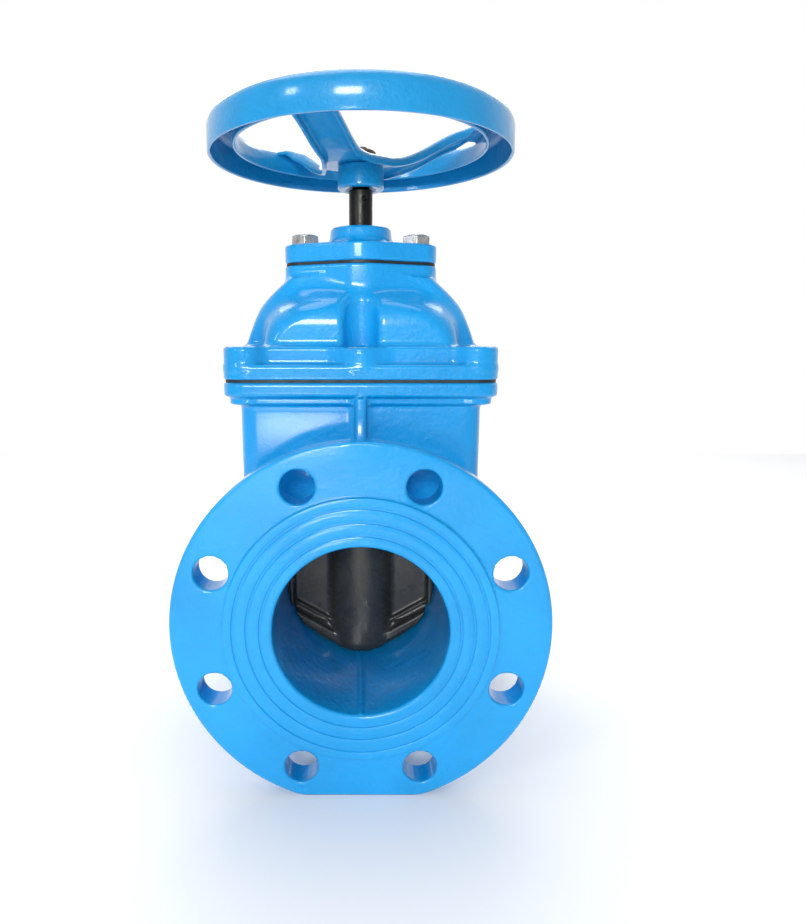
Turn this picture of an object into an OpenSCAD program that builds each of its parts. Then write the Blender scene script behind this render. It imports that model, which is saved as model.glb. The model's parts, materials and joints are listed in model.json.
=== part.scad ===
// Resilient-seated gate valve, nominal bore 100 mm, with a non-rising stem and a handwheel.
// X runs across the pipe, Y along the flow and Z up the stem. The origin is on the stem's axis,
// at the height of the flats that the flanges stand on. Heights named z_... are measured from
// the pipe's axis, and from_axis() lifts every part by axis_h.

/* [Pipe flanges] */
// Length from one raised face to the other
face_to_face = 190; // [188:1:194]
// Outside diameter of a pipe flange
flange_d = 210; // [206:1:214]
// Thickness of a pipe flange without its raised face
flange_t = 16; // [14:0.5:17]
// Diameter of the raised face
face_d = 151; // [148:1:153]
// Height of the raised face
face_h = 2; // [1.5:0.1:2.5]
// Pitch circle diameter of the bolt holes
bolt_pcd = 175; // [174:0.5:176]
// Diameter of a bolt hole
bolt_hole_d = 19; // [18:0.5:20]
// Number of bolt holes in a flange
bolt_count = 8; // [8:4:8]
// Height of the pipe's axis above the flats that the valve stands on
axis_h = 99; // [98:0.5:101]

/* [Body] */
// Diameter of the waterway
bore_d = 97; // [96:0.5:98]
// Outside diameter of the pipe neck
neck_d = 118; // [116:1:122]
// Half width of the chest that the wedge rises into
chest_x = 71.5; // [71:0.5:73]
// Half depth of the chest
chest_y = 44; // [43:0.5:46]
// Wall thickness of the castings
wall = 7.5; // [7:0.5:8]

/* [Bonnet joint] */
// Half width of the joint flange
joint_x = 81; // [80.5:0.5:82]
// Half depth of the joint flange
joint_y = 50.5; // [50:0.5:51.5]
// Height of the body's top face
z_joint = 133; // [132:0.5:134]
// Thickness of the bonnet gasket
bonnet_gasket_t = 1.5; // [1.3:0.1:1.7]
// Diameter of a bonnet screw's thread
screw_d = 10; // [9:1:10]

/* [Bonnet and gland] */
// Radius of the arch over the guide lobes, seen along the flow
lobe_arch_r = 73.5; // [73:0.5:74.5]
// Radius of the arch over the dome, seen along the flow
dome_arch_r = 71.5; // [71:0.5:72]
// Height of the bonnet's top face
z_bonnet_top = 202.5; // [202:0.5:203]
// Thickness of the gland gasket
gland_gasket_t = 1.5; // [1.3:0.1:1.7]
// Thickness of the gland plate
gland_t = 11; // [10:0.5:12]
// Height of the gland boss above its plate
gland_boss_h = 10; // [9:0.5:11]
// Distance of a gland bolt from the stem's axis
gland_bolt_x = 34.5; // [34:0.5:35.5]

/* [Stem] */
// Radius of the stem's polished shank
shank_r = 7.25; // [7.1:0.05:7.4]
// Radius of the stem's thread and lower journal
thread_r = 10; // [9.8:0.1:10.2]
// Running clearance of the stem in its bores
running = 0.1; // [0.08:0.01:0.1]
// Diameter of the cross hole below the hub
cross_hole_d = 2.6; // [2:0.2:3]

/* [Wedge] */
// Radius of the wedge's central barrel
barrel_r = 22; // [21.5:0.5:22.5]
// Thickness of the rubber on the wedge
rubber_t = 2.5; // [2:0.5:3]
// Gap between the rubber and the body
wedge_gap = 0.5; // [0.4:0.1:0.7]
// Slope of the seal beads under the wedge, in degrees
bead_slope = 30; // [28:1:32]

/* [Handwheel] */
// Outside radius of the rim
rim_r = 92; // [90:1:95]
// Height of the rim's top
z_rim_top = 286; // [285:0.5:288]
// Height of the rim
rim_h = 20.5; // [19:0.5:22]
// Thickness of the pressed steel
sheet_t = 2; // [1.8:0.1:2.2]
// Width of a spoke
spoke_w = 26; // [24:1:28]
// Plan angle of the first spoke, in degrees
spoke_angle = 5; // [0:1:10]

/* [Hidden] */
$fn = 96;
eps = 0.01;

paint_blue = [0.12, 0.55, 0.86];
rubber_black = [0.12, 0.12, 0.12];
steel_grey = [0.72, 0.73, 0.74];

// Pipe flanges
half_length = face_to_face / 2;
flange_front = half_length - face_h;
flange_back = flange_front - flange_t;
groove_radii = [55, 62.3, 70];
groove_w = 1.2;
groove_deep = 0.6;

// Body
bore_r = bore_d / 2;
belly_r = bore_r + wall + 10;
chest_corner = 10;
chest_low = 20;
belly_x = 60;
belly_z = -24;
joint_t = 8.7;
joint_corner = 14;
step_t = 4.5;
step_in = 4;
cavity_corner = 8;
cavity_y = chest_y - wall;
cavity_x = chest_x - wall;
rib_w = 6.4;
rib_y = 51;

// Screw places in the bonnet joint
screw_x = 68;
screw_y = 37.5;
screw_places = [for (sx = [-1, 0, 1], sy = [-1, 1]) [sx * screw_x, sy * screw_y]];
screw_boss_r = 12.5;
mid_boss_r = 13;
screw_head_r = 8;
screw_head_h = 10;
screw_hole_deep = 12;

// Bonnet
z_bonnet = z_joint + bonnet_gasket_t;
plate_t = 8.8;
z_plate = z_bonnet + plate_t;
z_tier = z_plate + 10.2;
tier_x = 75;
tier_y = 43;
lobe_arch_z = 135.5;
dome_arch_z = 123.5;
dome_x = 57.5;
dome_y = 39;
dome_corner = 12;
dome_shoulder_r = 30;
lobe_y = 16;
z_roof = 186;
flute_r = 9.6;
flute_wall = 4.6;

// Gland lozenge
lozenge_mid_r = 26;
lozenge_end_r = 12.8;
z_gland = z_bonnet_top + gland_gasket_t;
z_gland_top = z_gland + gland_t;
gland_boss_r = 18.6;
gland_boss_base_r = 19.8;
gland_bolt_r = 5;
hex_flat = 16;
hex_head_h = 6.4;

// Stem and its bearings
z_collar = 194.6;
collar_h = 6;
collar_r = 14;
washer_t = 1.5;
collar_pocket_r = 15.5;
bush_r = 12.5;
z_bush = z_collar + collar_h + 2 * running + washer_t;
z_bush_top = 220.5;
o_ring_r = 1.2;
inner_ring_z = [207.5, 214.5];
outer_ring_z = [209, 216];
wiper_r = 10.5;
z_stem_end = 60;
z_hub = 248;
hub_r = 14.2;
hub_h = 14;
square_w = 10;
stud_r = 5;
stud_h = 8;
z_cross_hole = 242.4;

// Wedge and its guides
guide_half = 6;
shoe_t = 2;
slot_half = guide_half + shoe_t + wedge_gap;
guide_x = 55;
slot_x = guide_x + shoe_t + wedge_gap;
z_guide_low = 12;
z_guide_high = 58;
web_half = 9;
band_half = 11;
bead_half = 16;
bead_h = 5.5;
upright_w = 3.5;
lip_half = 12;
lip_h = 1.6;
lip_gap = 4;
bead_in = 14;
bead_low_z = -43;
band_r = bore_r - wedge_gap;
z_wedge_bottom = -48;
nose_round = 8;
z_shoulder = 58;
z_neck = 61;
z_wedge_top = 84;
neck_half = 20;
tunnel_r = 11.5;
z_tunnel = -41;
nut_x = 13;
nut_y = 17;
nut_low = 62;
nut_high = 78;
throat_half = bead_half + wedge_gap;
throat_round = barrel_r + wedge_gap;

// Handwheel
rim_w = 16.5;
rim_round = 8;
rim_inner_drop = 15;
z_rim = z_rim_top - rim_h;
spider_r = 23;
spider_t = 2.4;
z_spider = z_hub + hub_h;
spoke_start = 21;
spoke_count = 3;
pad_r = rim_r - rim_w;
lip_drop = 3.6;
z_pad = z_rim_top - 4;
wheel_nut_h = 5;

// Lifts children from the pipe's axis to their height above the floor.
module from_axis() {
    translate([0, 0, axis_h]) children();
}

// Turns a shape drawn around Z to lie along the flow.
module along_flow() {
    rotate([-90, 0, 0]) children();
}

// Rounded rectangle in plan.
module plan_rect(hx, hy, r) {
    square([2 * (hx - r), 2 * hy], center = true);
    square([2 * hx, 2 * (hy - r)], center = true);
    for (sx = [-1, 1], sy = [-1, 1])
        translate([sx * (hx - r), sy * (hy - r)]) circle(r);
}

// Plate with a rounded rectangular outline between two heights.
module plan_plate(hx, hy, r, z0, z1) {
    translate([0, 0, z0]) linear_extrude(z1 - z0) plan_rect(hx, hy, r);
}

// Outline drawn in X and Z, given a depth of half each way along the flow.
module front_slab(half) {
    rotate([90, 0, 0]) translate([0, 0, -half]) linear_extrude(2 * half) children();
}

// Ring or tube between two heights.
module ring(r_out, r_in, z0, z1) {
    difference() {
        translate([0, 0, z0]) cylinder(r = r_out, h = z1 - z0);
        translate([0, 0, z0 - 1]) cylinder(r = r_in, h = z1 - z0 + 2);
    }
}

// Hexagonal prism with its flats the given distance apart.
module hexagon(flat, z0, z1) {
    translate([0, 0, z0]) rotate([0, 0, 30]) cylinder(r = flat / sqrt(3), h = z1 - z0, $fn = 6);
}

// Six holes or bosses at the bonnet screws.
module at_screws() {
    for (p = screw_places) translate([p[0], p[1], 0]) children();
}

// Lozenge with a round middle and round ends, joined by straight flanks.
module lozenge(shrink) {
    mid = lozenge_mid_r - shrink;
    tip = lozenge_end_r - shrink;
    flank = acos((mid - tip) / gland_bolt_x);
    sink = 0.3;
    a = [(mid - sink) * cos(flank), (mid - sink) * sin(flank)];
    b = [gland_bolt_x + (tip - sink) * cos(flank), (tip - sink) * sin(flank)];
    circle(mid);
    for (sx = [-1, 1]) translate([sx * gland_bolt_x, 0]) circle(tip);
    polygon([
        a, b, [b[0], -b[1]], [a[0], -a[1]],
        [-a[0], -a[1]], [-b[0], -b[1]], [-b[0], b[1]], [-a[0], a[1]]
    ]);
}

// The two places of the gland bolts.
module at_gland_bolts() {
    for (sx = [-1, 1]) translate([sx * gland_bolt_x, 0, 0]) children();
}

module lozenge_plate(shrink, z0, z1) {
    translate([0, 0, z0]) linear_extrude(z1 - z0) lozenge(shrink);
}

// ---- Body ----

// One pipe flange with its raised face, standing on Z.
module flange_disc() {
    translate([0, 0, flange_back]) cylinder(d = flange_d, h = flange_t);
    translate([0, 0, flange_front - 1]) cylinder(d = face_d, h = face_h + 1);
}

// Bolt holes and gasket grooves of one flange.
module flange_cuts() {
    for (i = [0 : bolt_count - 1])
        rotate([0, 0, (i + 0.5) * 360 / bolt_count])
            translate([bolt_pcd / 2, 0, flange_back - 1]) cylinder(d = bolt_hole_d, h = flange_t + 3);
    for (r = groove_radii)
        ring(r + groove_w / 2, r - groove_w / 2, half_length - groove_deep, half_length + 1);
}

// Outline of the chest and the belly under it, seen along the flow.
module chest_front() {
    circle(belly_r);
    polygon([
        [chest_x, z_joint - joint_t], [chest_x, chest_low], [belly_x, belly_z],
        [-belly_x, belly_z], [-chest_x, chest_low], [-chest_x, z_joint - joint_t]
    ]);
}

// Stiffening rib between the chest and a pipe flange.
module body_rib() {
    rotate([90, 0, 90]) translate([0, 0, -rib_w / 2]) linear_extrude(rib_w)
        polygon([
            [chest_y - 2, z_joint - joint_t], [rib_y, z_joint - joint_t], [rib_y, 97],
            [flange_back + 1, 66], [flange_back + 1, 50], [chest_y - 2, 50]
        ]);
}

// Space that the wedge slides in, from the waterway up to the joint.
module wedge_way() {
    plan_plate(cavity_x, cavity_y, cavity_corner, belly_r - 6, z_joint + 1);
    translate([-bore_r, -throat_half, 0]) cube([bore_d, 2 * throat_half, belly_r]);
    cylinder(r = throat_round, h = belly_r);
    front_slab(slot_half)
        polygon([
            [slot_x, belly_r], [slot_x, z_guide_low - 3], [bore_r - 2, -4],
            [2 - bore_r, -4], [-slot_x, z_guide_low - 3], [-slot_x, belly_r]
        ]);
}

// Rails inside the chest that hold the guide shoes.
module guide_rails() {
    for (sx = [-1, 1], sy = [-1, 1])
        translate([sx * (slot_x + cavity_x + 1) / 2, sy * (slot_half + 2.5), (belly_r - 8 + z_joint) / 2])
            cube([cavity_x + 1 - slot_x + 8, 5, z_joint - belly_r + 8], center = true);
}

module body() {
    color(paint_blue) from_axis() difference() {
        union() {
            along_flow() cylinder(d = neck_d, h = 2 * flange_front, center = true);
            for (turn = [0, 180]) rotate([0, 0, turn]) along_flow() flange_disc();
            intersection() {
                front_slab(chest_y) chest_front();
                plan_plate(chest_x, chest_y, chest_corner, -belly_r - 1, z_joint);
            }
            plan_plate(joint_x, joint_y, joint_corner, z_joint - joint_t, z_joint);
            plan_plate(joint_x - step_in, joint_y - step_in, joint_corner - step_in,
                z_joint - joint_t - step_t, z_joint - joint_t);
            for (sx = [-1, 0, 1], sy = [-1, 1])
                translate([sx * (screw_x - 1), sy * screw_y, z_joint - joint_t - step_t])
                    cylinder(r = screw_boss_r - 3, h = step_t);
            for (turn = [0, 180]) rotate([0, 0, turn]) body_rib();
        }
        along_flow() cylinder(r = bore_r, h = face_to_face + 2, center = true);
        difference() {
            wedge_way();
            guide_rails();
            at_mid_screws() translate([0, 0, z_joint - screw_hole_deep - 6])
                cylinder(r = screw_boss_r - 3, h = 30);
        }
        for (turn = [0, 180]) rotate([0, 0, turn]) along_flow() flange_cuts();
        at_screws() translate([0, 0, z_joint - screw_hole_deep])
            cylinder(d = screw_d, h = screw_hole_deep + 1);
        translate([0, 0, -axis_h - 20]) cube([flange_d, 2 * face_to_face, 40], center = true);
    }
}

// ---- Bonnet ----

module bonnet_gasket() {
    color(rubber_black) from_axis() difference() {
        plan_plate(joint_x - 1, joint_y - 1, joint_corner - 1, z_joint, z_bonnet);
        plan_plate(cavity_x, cavity_y, cavity_corner, z_joint - 1, z_bonnet + 1);
        at_screws() translate([0, 0, z_joint - 1]) cylinder(d = screw_d + 1, h = 4);
    }
}

// Depth outline of the dome: upright sides that turn over a round shoulder.
module dome_side(hy, r, z_top) {
    translate([-hy, z_joint]) square([2 * hy, z_top - r - z_joint]);
    translate([r - hy, z_top - r - 1]) square([2 * (hy - r), r + 1]);
    for (sy = [-1, 1]) translate([sy * (hy - r), z_top - r]) circle(r);
}

// Dome over the wedge with a lobe on each side for the guides, drawn inwards by inset for the hollow.
module dome(inset, z_base, z_top) {
    hx = dome_x - inset;
    hy = dome_y - inset;
    lobe = lobe_y - inset + (inset > 0 ? 1 : 0);
    arch = lobe_arch_r - inset;
    intersection() {
        front_slab(hy + 1) translate([0, dome_arch_z]) circle(dome_arch_r - inset);
        rotate([90, 0, 90]) translate([0, 0, -hx]) linear_extrude(2 * hx)
            dome_side(hy, dome_shoulder_r - inset, z_top);
        plan_plate(hx, hy, dome_corner - inset / 2, z_base, z_top + 1);
    }
    intersection() {
        front_slab(lobe) translate([0, lobe_arch_z]) circle(arch);
        translate([-arch, -lobe, z_base]) cube([2 * arch, 2 * lobe, z_top - z_base]);
    }
}

// Upright cylinders on the axes of the two middle screws.
module at_mid_screws() {
    for (sy = [-1, 1]) translate([0, sy * screw_y, 0]) children();
}

// Upper tier of the joint flange with its six screw bosses.
module bonnet_tier() {
    plan_plate(tier_x, tier_y, joint_corner - 4, z_plate - 1, z_tier);
    for (p = screw_places)
        translate([p[0], p[1], z_plate - 1])
            cylinder(r = p[0] == 0 ? mid_boss_r : screw_boss_r, h = z_tier - z_plate + 1);
}

module bonnet() {
    color(paint_blue) from_axis() difference() {
        union() {
            plan_plate(joint_x, joint_y, joint_corner, z_bonnet, z_plate);
            bonnet_tier();
            dome(0, z_bonnet, z_roof + wall + 1);
            lozenge_plate(0, z_roof - 18, z_bonnet_top);
        }
        difference() {
            dome(wall, z_joint, z_roof);
            at_mid_screws() translate([0, 0, z_bonnet - 2]) cylinder(r = flute_r + flute_wall, h = z_roof);
        }
        at_mid_screws() translate([0, 0, z_tier]) cylinder(r = flute_r, h = z_roof);
        translate([0, 0, z_roof - 1]) cylinder(r = thread_r + running, h = 20);
        translate([0, 0, z_collar - running - washer_t]) cylinder(r = collar_pocket_r, h = 20);
        at_screws() translate([0, 0, z_bonnet - 1]) cylinder(d = screw_d + 1, h = 12);
        at_screws() translate([0, 0, z_tier - screw_head_h])
            cylinder(r = screw_head_r + 0.5, h = screw_head_h + 1);
        at_gland_bolts() translate([0, 0, z_bonnet_top - 14]) cylinder(r = gland_bolt_r, h = 15);
    }
}

// Socket-head cap screws, sunk into the bonnet's bosses.
module bonnet_screws() {
    z_head = z_tier - screw_head_h;
    color(steel_grey) from_axis() at_screws() difference() {
        union() {
            translate([0, 0, z_joint - screw_hole_deep + 1])
                cylinder(d = screw_d, h = z_head - z_joint + screw_hole_deep - 1 + eps);
            translate([0, 0, z_head]) cylinder(r = screw_head_r, h = 7);
        }
        hexagon(8, z_head + 2, z_head + 8);
    }
}

// Wax plugs that seal the screw pockets.
module screw_seals() {
    color([0.16, 0.5, 0.78]) from_axis() at_screws()
        translate([0, 0, z_tier - screw_head_h + 7.2])
            cylinder(r = screw_head_r + 0.5, h = screw_head_h - 7.6);
}

// ---- Gland and stem seals ----

module gland_gasket() {
    color(rubber_black) from_axis() difference() {
        lozenge_plate(0.8, z_bonnet_top, z_gland);
        translate([0, 0, z_bonnet_top - 1]) cylinder(r = collar_pocket_r + 0.5, h = 4);
        at_gland_bolts() translate([0, 0, z_bonnet_top - 1]) cylinder(r = gland_bolt_r + 0.5, h = 4);
    }
}

module gland() {
    color(paint_blue) from_axis() difference() {
        union() {
            lozenge_plate(0, z_gland, z_gland_top);
            translate([0, 0, z_gland_top])
                cylinder(r1 = gland_boss_base_r, r2 = gland_boss_r, h = gland_boss_h);
        }
        translate([0, 0, z_gland - 1]) cylinder(r = bush_r, h = z_bush_top - z_gland + 1);
        translate([0, 0, z_bush_top - 1]) cylinder(r = wiper_r, h = 20);
        at_gland_bolts() translate([0, 0, z_gland - 1]) cylinder(r = gland_bolt_r + 0.5, h = gland_t + 2);
    }
}

// Hexagon-head bolts that hold the gland down.
module gland_bolts() {
    color(steel_grey) from_axis() at_gland_bolts() {
        translate([0, 0, z_bonnet_top - 13])
            cylinder(r = gland_bolt_r, h = z_gland_top - z_bonnet_top + 13 + eps);
        hexagon(hex_flat, z_gland_top, z_gland_top + hex_head_h);
    }
}

// Brass bush with grooves for the stem's O-rings, and a flange in the collar's pocket.
module stem_bush() {
    color([0.78, 0.62, 0.28]) from_axis() difference() {
        union() {
            translate([0, 0, z_bush]) cylinder(r = collar_pocket_r - 0.2, h = z_gland - z_bush);
            translate([0, 0, z_bush]) cylinder(r = bush_r, h = z_bush_top - z_bush);
        }
        translate([0, 0, z_bush - 1]) cylinder(r = shank_r + running, h = 40);
        for (z = inner_ring_z) ring(shank_r + running + 2 * o_ring_r, shank_r - 1, z - 1.4, z + 1.4);
        for (z = outer_ring_z) ring(bush_r + 1, bush_r - 2 * o_ring_r, z - 1.4, z + 1.4);
    }
}

// Rubber ring with a round section.
module o_ring(r, z) {
    translate([0, 0, z]) rotate_extrude() translate([r, 0]) circle(o_ring_r, $fn = 32);
}

module inner_o_rings() {
    color(rubber_black) from_axis() for (z = inner_ring_z) o_ring(shank_r + running + o_ring_r, z);
}

module outer_o_rings() {
    color(rubber_black) from_axis() for (z = outer_ring_z) o_ring(bush_r - o_ring_r, z);
}

module dust_wiper() {
    z_top = z_gland_top + gland_boss_h;
    color(rubber_black) from_axis() difference() {
        union() {
            ring(wiper_r, shank_r + running, z_bush_top, z_top - 0.6);
            translate([0, 0, z_top - 0.6]) cylinder(r1 = shank_r + 2, r2 = shank_r + 1, h = 1.2);
        }
        translate([0, 0, z_bush_top - 1]) cylinder(r = shank_r + running, h = 10);
    }
}

module lower_thrust_washer() {
    color([0.9, 0.88, 0.8]) from_axis()
        ring(collar_pocket_r - 0.2, thread_r + 1, z_collar - running - washer_t, z_collar - running);
}

module upper_thrust_washer() {
    color([0.9, 0.88, 0.8]) from_axis()
        ring(collar_pocket_r - 0.2, shank_r + 1.2, z_bush - washer_t, z_bush);
}

// ---- Stem and handwheel ----

module stem() {
    color([0.1, 0.1, 0.1]) from_axis() difference() {
        union() {
            translate([0, 0, z_stem_end]) cylinder(r = thread_r, h = z_collar - z_stem_end + eps);
            translate([0, 0, z_collar]) cylinder(r = collar_r, h = collar_h);
            translate([0, 0, z_collar]) cylinder(r = shank_r, h = z_hub - z_collar);
            translate([0, 0, z_hub + hub_h / 2]) cube([square_w, square_w, hub_h + 2], center = true);
            translate([0, 0, z_hub]) cylinder(r = stud_r, h = hub_h + spider_t + stud_h);
        }
        translate([0, 0, z_cross_hole]) rotate([90, 0, 20])
            cylinder(d = cross_hole_d, h = 30, center = true);
    }
}

module handwheel_hub() {
    color(paint_blue) from_axis() difference() {
        translate([0, 0, z_hub]) cylinder(r = hub_r, h = hub_h);
        translate([0, 0, z_hub + hub_h / 2]) cube([square_w, square_w, hub_h + 2], center = true);
        translate([0, 0, z_hub - eps]) cylinder(r1 = shank_r + 2.5, r2 = shank_r, h = 2.5);
    }
}

// One pressed spoke that climbs from the hub plate to its pad under the rim, with lips along its edges.
module spoke() {
    run = pad_r - spoke_start;
    climb = z_pad - z_spider;
    slope = atan(climb / (run - 8));
    length = norm([run - 8, climb]);
    translate([spoke_start, 0, z_spider]) rotate([0, -slope, 0]) {
        translate([0, -spoke_w / 2, 0]) cube([length, spoke_w, spider_t]);
        for (sy = [-1, 1])
            translate([2, sy * (spoke_w - sheet_t) / 2 - sheet_t / 2, -lip_drop])
                cube([length - 4, sheet_t, lip_drop + 1]);
    }
    translate([pad_r - 9.5, -spoke_w / 2 - 4, z_pad]) cube([9.3, spoke_w + 8, spider_t]);
}

// Pressed three-spoke plate welded into the rim and onto the hub.
module handwheel_spider() {
    color(paint_blue) from_axis() difference() {
        union() {
            translate([0, 0, z_spider]) cylinder(r = spider_r, h = spider_t);
            intersection() {
                for (i = [0 : spoke_count - 1]) rotate([0, 0, spoke_angle + i * 360 / spoke_count]) spoke();
                translate([0, 0, z_spider - 5]) cylinder(r = pad_r, h = 40);
            }
        }
        translate([0, 0, z_spider - 6]) cylinder(r = stud_r + 0.5, h = 12);
        translate([0, 0, z_spider]) cube([square_w, square_w, 2], center = true);
    }
}

// Section of the hollow rim: an inverted channel with round shoulders.
module rim_box(inset) {
    r = rim_round - inset;
    x0 = pad_r + inset;
    x1 = rim_r - inset;
    z1 = z_rim_top - inset;
    z0 = z_rim - 6 + inset;
    translate([x0, z0 + r]) square([x1 - x0, z1 - z0 - 2 * r]);
    translate([x0 + r, z0]) square([x1 - x0 - 2 * r, z1 - z0]);
    for (x = [x0 + r, x1 - r], z = [z0 + r, z1 - r]) translate([x, z]) circle(r);
}

module handwheel_rim() {
    color(paint_blue) from_axis() rotate_extrude(convexity = 6) difference() {
        rim_box(0);
        rim_box(sheet_t);
        translate([pad_r - 1, z_rim - 12]) square([rim_w + 2, 12]);
        translate([pad_r - 1, z_rim - 12]) square([rim_w / 2, rim_h + 12 - rim_inner_drop]);
    }
}

module handwheel_washer() {
    z0 = z_spider + spider_t;
    color([0.4, 0.28, 0.16]) from_axis() ring(10, stud_r + 0.5, z0, z0 + washer_t);
}

module handwheel_nut() {
    z0 = z_spider + spider_t + washer_t;
    color([0.35, 0.24, 0.14]) from_axis() difference() {
        hexagon(hex_flat, z0, z0 + wheel_nut_h);
        translate([0, 0, z0 - 1]) cylinder(r = stud_r, h = wheel_nut_h + 2);
    }
}

// ---- Wedge ----

// One side of a sloping seal bead or lip, drawn in X and Z and trimmed to the waterway.
module bead_bar(z_low, h) {
    intersection() {
        translate([bead_in, z_low]) rotate(bead_slope) square([60, h]);
        circle(band_r - 0.3);
    }
}

// Seal beads on the right side: the slope, the upright and half of the crosspiece above the bore.
module bead_side() {
    bead_bar(bead_low_z, bead_h);
    intersection() {
        translate([band_r - 0.5 - upright_w, -12]) square([upright_w, z_shoulder + 12 - 1]);
        web_front(0.4);
    }
    translate([0, z_shoulder - bead_h - 1]) square([band_r - 1, bead_h]);
}

// Outline of the web, seen along the flow.
module web_front(inset) {
    intersection() {
        union() {
            circle(band_r - inset);
            translate([-band_r + inset, 0]) square([2 * (band_r - inset), z_shoulder - inset]);
        }
        translate([-60, -60]) square([120, 60 + z_shoulder]);
    }
}

// Section of the barrel's rounded lower end.
module nose_profile(inset) {
    intersection() {
        union() {
            translate([barrel_r - nose_round, 0]) circle(nose_round - inset);
            translate([0, inset - nose_round]) square([barrel_r - nose_round, nose_round + 2]);
        }
        translate([0, -nose_round]) square([barrel_r, nose_round + 0.1]);
    }
}

// The wedge's solid form, pulled in by inset for the iron inside the rubber.
module wedge_form(inset) {
    front_slab(web_half - inset) web_front(inset);
    if (inset == 0) {
        front_slab(band_half) difference() {
            web_front(0);
            translate([-band_r, bead_low_z + 14]) square([2 * band_r, 120]);
        }
        front_slab(bead_half) for (m = [0, 1]) mirror([m, 0]) bead_side();
        front_slab(lip_half) for (m = [0, 1]) mirror([m, 0])
            bead_bar(bead_low_z + (bead_h + lip_gap) / cos(bead_slope), lip_h);
    }
    translate([0, 0, z_wedge_bottom + nose_round])
        cylinder(r = barrel_r - inset, h = z_neck - z_wedge_bottom - nose_round);
    intersection() {
        translate([0, 0, z_wedge_bottom + nose_round]) rotate_extrude() nose_profile(inset);
        front_slab(barrel_r) circle(band_r - inset);
    }
    translate([inset - neck_half, inset - neck_half, z_neck - eps])
        cube([2 * (neck_half - inset), 2 * (neck_half - inset), z_wedge_top - inset - z_neck]);
    front_slab(guide_half - (inset == 0 ? 0 : 1)) for (m = [0, 1]) mirror([m, 0])
        translate([30, z_guide_low]) square([guide_x - inset - 30, z_guide_high - z_guide_low - inset]);
}

// Room in the wedge for the nut and the stem.
module wedge_room() {
    translate([0, 0, z_tunnel]) cylinder(r = tunnel_r, h = z_wedge_top - z_tunnel + 1);
    translate([-nut_x, -40, nut_low]) cube([2 * nut_x, 80, nut_high - nut_low]);
}

module wedge_core() {
    color([0.35, 0.35, 0.36]) from_axis() difference() {
        wedge_form(rubber_t);
        wedge_room();
    }
}

module wedge_rubber() {
    color(rubber_black) from_axis() difference() {
        wedge_form(0);
        wedge_form(rubber_t);
        wedge_room();
    }
}

module stem_nut() {
    color([0.8, 0.65, 0.3]) from_axis() difference() {
        translate([0.1 - nut_x, -nut_y, nut_low]) cube([2 * nut_x - 0.2, 2 * nut_y, nut_high - nut_low]);
        translate([0, 0, nut_low - 1]) cylinder(r = thread_r + running, h = 40);
    }
}

// Plastic shoes on the wedge's guides.
module guide_shoes() {
    color([0.75, 0.72, 0.5]) from_axis() for (m = [0, 1]) mirror([m, 0, 0])
        translate([0, 0, z_guide_low]) linear_extrude(z_guide_high - z_guide_low) difference() {
            translate([band_r + 1, -guide_half - shoe_t])
                square([guide_x + shoe_t - band_r - 1, 2 * (guide_half + shoe_t)]);
            translate([band_r, -guide_half]) square([guide_x - band_r, 2 * guide_half]);
        }
}

body();
bonnet_gasket();
bonnet();
bonnet_screws();
screw_seals();
gland_gasket();
gland();
gland_bolts();
stem_bush();
inner_o_rings();
outer_o_rings();
dust_wiper();
lower_thrust_washer();
upper_thrust_washer();
stem();
handwheel_hub();
handwheel_spider();
handwheel_rim();
handwheel_washer();
handwheel_nut();
wedge_core();
wedge_rubber();
stem_nut();
guide_shoes();
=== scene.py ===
"""Looks of the flanged gate valve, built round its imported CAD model.

The castings, the moulded wedge, the pressed spider and the fasteners are signed-distance fields that
mesh_field() turns into smooth meshes, so they carry the round fillets of real castings. Turned parts
are lathed profiles. Shapes are drawn in millimetres from the pipe's axis, X across, Y along the flow
and Z up the stem, and place() moves them to metres above the floor.
"""

import json
import math

import bmesh
import bpy
import numpy as np
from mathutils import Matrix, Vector


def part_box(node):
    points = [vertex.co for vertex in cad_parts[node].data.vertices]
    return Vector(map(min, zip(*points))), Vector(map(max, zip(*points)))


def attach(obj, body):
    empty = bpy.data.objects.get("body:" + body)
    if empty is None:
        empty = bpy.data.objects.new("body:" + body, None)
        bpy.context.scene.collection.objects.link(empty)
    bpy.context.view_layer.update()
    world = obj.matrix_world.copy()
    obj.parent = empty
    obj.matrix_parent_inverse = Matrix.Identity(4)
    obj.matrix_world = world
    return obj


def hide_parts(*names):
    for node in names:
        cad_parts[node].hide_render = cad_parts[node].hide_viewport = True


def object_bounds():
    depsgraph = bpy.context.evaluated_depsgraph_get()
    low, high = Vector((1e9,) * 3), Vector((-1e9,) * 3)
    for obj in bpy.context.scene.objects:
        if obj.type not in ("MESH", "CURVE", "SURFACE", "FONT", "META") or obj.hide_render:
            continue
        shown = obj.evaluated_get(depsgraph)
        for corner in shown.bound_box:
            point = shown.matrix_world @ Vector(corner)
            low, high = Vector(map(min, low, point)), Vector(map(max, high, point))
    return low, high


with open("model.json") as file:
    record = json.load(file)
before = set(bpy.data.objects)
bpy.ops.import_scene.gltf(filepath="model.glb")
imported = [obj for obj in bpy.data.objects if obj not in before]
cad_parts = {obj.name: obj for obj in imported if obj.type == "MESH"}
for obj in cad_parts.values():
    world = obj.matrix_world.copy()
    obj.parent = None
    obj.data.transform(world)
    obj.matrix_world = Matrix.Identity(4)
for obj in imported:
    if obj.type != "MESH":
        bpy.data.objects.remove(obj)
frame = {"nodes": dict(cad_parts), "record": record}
cad_low, cad_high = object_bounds()

MM = 0.001
MOUNTS = {m["name"]: m for m in frame["record"]["mounts"]}
AXIS_H = MOUNTS["inlet_flange"]["pos_m"][2] / MM


def low(node, axis):
    """Lowest place of a CAD node along an axis, in millimetres from the pipe's axis."""
    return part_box(node)[0][axis] / MM - (AXIS_H if axis == 2 else 0)


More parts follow.
